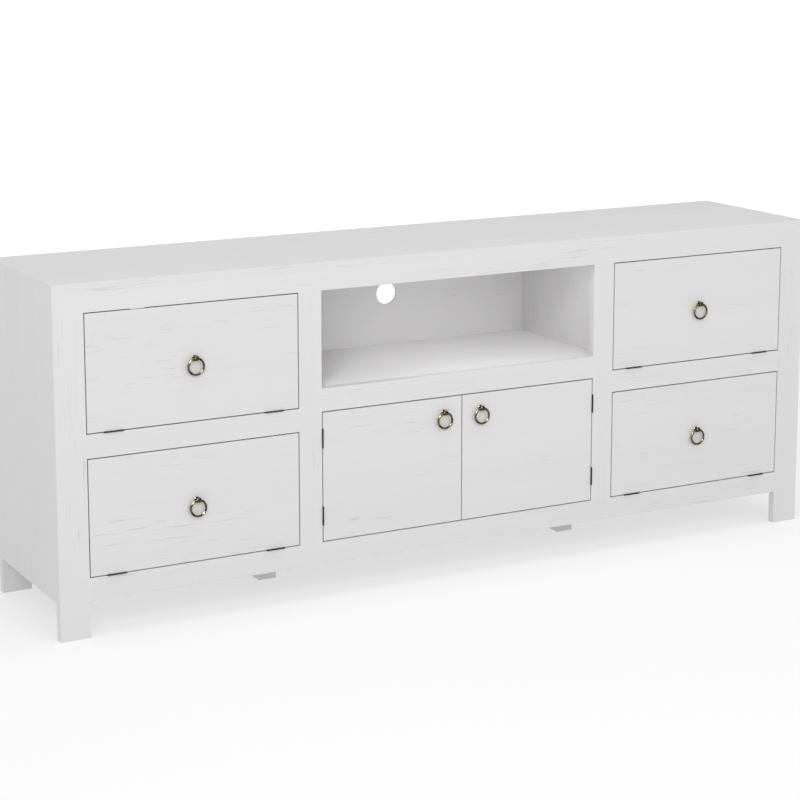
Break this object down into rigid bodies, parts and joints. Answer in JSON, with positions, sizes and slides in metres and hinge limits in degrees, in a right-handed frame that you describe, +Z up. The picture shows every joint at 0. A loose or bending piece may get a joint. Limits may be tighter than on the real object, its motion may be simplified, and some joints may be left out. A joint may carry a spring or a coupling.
{
  "type": "media cabinet",
  "caption": "Low white media cabinet with drop-front flaps at each end, a pair of doors in the middle, an open cubby above them and ring pulls.",
  "frame": {"origin": "on the floor, under the middle of the whole outline, ring pulls included", "axes": "+X towards the cabinet's right end as seen from the front, +Y from the front to the wall side, +Z up"},
  "size_m": [1.8, 0.3832, 0.706],
  "materials": {
    "painted_wood": "white satin paint over a brushed wood grain",
    "antique_brass": "aged, worn bright on the high spots",
    "black_steel": "satin black",
    "zinc_steel": "zinc plated",
    "white_plastic": "moulded"
  },
  "bodies": {
    "cabinet": {"top_panel": "painted_wood", "bottom_panel": "painted_wood", "cubby_shelf": "painted_wood", "back_panel": "painted_wood", "left_side_panel": "painted_wood", "right_side_panel": "painted_wood", "left_partition": "painted_wood", "right_partition": "painted_wood", "left_bay_shelf": "painted_wood", "right_bay_shelf": "painted_wood", "front_left_leg": "painted_wood", "front_right_leg": "painted_wood", "rear_left_leg": "painted_wood", "rear_right_leg": "painted_wood", "left_stile": "painted_wood", "right_stile": "painted_wood", "top_rail": "painted_wood", "bottom_rail": "painted_wood", "left_middle_rail": "painted_wood", "centre_middle_rail": "painted_wood", "right_middle_rail": "painted_wood", "rear_rail": "painted_wood", "left_centre_foot": "painted_wood", "right_centre_foot": "painted_wood", "upper_left_flap_inner_hinge": "black_steel", "upper_left_flap_outer_hinge": "black_steel", "upper_right_flap_inner_hinge": "black_steel", "upper_right_flap_outer_hinge": "black_steel", "lower_left_flap_inner_hinge": "black_steel", "lower_left_flap_outer_hinge": "black_steel", "lower_right_flap_inner_hinge": "black_steel", "lower_right_flap_outer_hinge": "black_steel", "left_door_upper_hinge": "black_steel", "left_door_lower_hinge": "black_steel", "right_door_upper_hinge": "black_steel", "right_door_lower_hinge": "black_steel"},
    "upper_left_flap": {"upper_left_flap": "painted_wood", "upper_left_flap_pull_post": "antique_brass"},
    "upper_left_flap_ring": {"upper_left_flap_pull_ring": "antique_brass"},
    "upper_right_flap": {"upper_right_flap": "painted_wood", "upper_right_flap_pull_post": "antique_brass"},
    "upper_right_flap_ring": {"upper_right_flap_pull_ring": "antique_brass"},
    "lower_left_flap": {"lower_left_flap": "painted_wood", "lower_left_flap_pull_post": "antique_brass"},
    "lower_left_flap_ring": {"lower_left_flap_pull_ring": "antique_brass"},
    "lower_right_flap": {"lower_right_flap": "painted_wood", "lower_right_flap_pull_post": "antique_brass"},
    "lower_right_flap_ring": {"lower_right_flap_pull_ring": "antique_brass"},
    "left_door": {"left_door": "painted_wood", "left_door_pull_post": "antique_brass"},
    "left_door_ring": {"left_door_pull_ring": "antique_brass"},
    "right_door": {"right_door": "painted_wood", "right_door_pull_post": "antique_brass"},
    "right_door_ring": {"right_door_pull_ring": "antique_brass"},
    "upper_left_flap_stay": {"upper_left_flap_stay_arm": "zinc_steel"},
    "upper_right_flap_stay": {"upper_right_flap_stay_arm": "zinc_steel"},
    "lower_left_flap_stay": {"lower_left_flap_stay_arm": "zinc_steel"},
    "lower_right_flap_stay": {"lower_right_flap_stay_arm": "zinc_steel"}
  },
  "joints": [
    {"name": "upper_left_flap_hinge", "type": "hinge", "parent": "cabinet", "child": "upper_left_flap", "pos_m": [-0.609, -0.1808, 0.4096], "axis": [1, 0, 0], "range_deg": [0, 90]},
    {"name": "upper_right_flap_hinge", "type": "hinge", "parent": "cabinet", "child": "upper_right_flap", "pos_m": [0.609, -0.1808, 0.4096], "axis": [1, 0, 0], "range_deg": [0, 90]},
    {"name": "lower_left_flap_hinge", "type": "hinge", "parent": "cabinet", "child": "lower_left_flap", "pos_m": [-0.609, -0.1808, 0.1221], "axis": [1, 0, 0], "range_deg": [0, 90]},
    {"name": "lower_right_flap_hinge", "type": "hinge", "parent": "cabinet", "child": "lower_right_flap", "pos_m": [0.609, -0.1808, 0.1221], "axis": [1, 0, 0], "range_deg": [0, 90]},
    {"name": "left_door_hinge", "type": "hinge", "parent": "cabinet", "child": "left_door", "pos_m": [-0.3289, -0.1808, 0.259], "axis": [0, 0, -1], "range_deg": [0, 95]},
    {"name": "right_door_hinge", "type": "hinge", "parent": "cabinet", "child": "right_door", "pos_m": [0.3289, -0.1808, 0.259], "axis": [0, 0, 1], "range_deg": [0, 95]},
    {"name": "upper_left_flap_ring_swing", "type": "hinge", "parent": "upper_left_flap", "child": "upper_left_flap_ring", "pos_m": [-0.609, -0.1864, 0.53775], "axis": [-1, 0, 0], "range_deg": [-8, 150]},
    {"name": "upper_right_flap_ring_swing", "type": "hinge", "parent": "upper_right_flap", "child": "upper_right_flap_ring", "pos_m": [0.609, -0.1864, 0.53775], "axis": [-1, 0, 0], "range_deg": [-8, 150]},
    {"name": "lower_left_flap_ring_swing", "type": "hinge", "parent": "lower_left_flap", "child": "lower_left_flap_ring", "pos_m": [-0.609, -0.1864, 0.25025], "axis": [-1, 0, 0], "range_deg": [-8, 150]},
    {"name": "lower_right_flap_ring_swing", "type": "hinge", "parent": "lower_right_flap", "child": "lower_right_flap_ring", "pos_m": [0.609, -0.1864, 0.25025], "axis": [-1, 0, 0], "range_deg": [-8, 150]},
    {"name": "left_door_ring_swing", "type": "hinge", "parent": "left_door", "child": "left_door_ring", "pos_m": [-0.045, -0.1864, 0.3635], "axis": [-1, 0, 0], "range_deg": [-8, 150]},
    {"name": "right_door_ring_swing", "type": "hinge", "parent": "right_door", "child": "right_door_ring", "pos_m": [0.045, -0.1864, 0.3635], "axis": [-1, 0, 0], "range_deg": [-8, 150]},
    {"name": "upper_left_flap_stay_pivot", "type": "hinge", "parent": "upper_left_flap", "child": "upper_left_flap_stay", "pos_m": [-0.3865, -0.1528, 0.4996], "axis": [1, 0, 0], "range_deg": [-144.5, 0]},
    {"name": "upper_right_flap_stay_pivot", "type": "hinge", "parent": "upper_right_flap", "child": "upper_right_flap_stay", "pos_m": [0.3865, -0.1528, 0.4996], "axis": [1, 0, 0], "range_deg": [-144.5, 0]},
    {"name": "lower_left_flap_stay_pivot", "type": "hinge", "parent": "lower_left_flap", "child": "lower_left_flap_stay", "pos_m": [-0.3865, -0.1528, 0.2121], "axis": [1, 0, 0], "range_deg": [-144.5, 0]},
    {"name": "lower_right_flap_stay_pivot", "type": "hinge", "parent": "lower_right_flap", "child": "lower_right_flap_stay", "pos_m": [0.3865, -0.1528, 0.2121], "axis": [1, 0, 0], "range_deg": [-144.5, 0]}
  ],
  "couplings": [
    {"joint": "upper_left_flap_stay_pivot", "follows": "upper_left_flap_hinge", "ratio": -1.6009},
    {"joint": "upper_right_flap_stay_pivot", "follows": "upper_right_flap_hinge", "ratio": -1.6009},
    {"joint": "lower_left_flap_stay_pivot", "follows": "lower_left_flap_hinge", "ratio": -1.6009},
    {"joint": "lower_right_flap_stay_pivot", "follows": "lower_right_flap_hinge", "ratio": -1.6009}
  ]
}
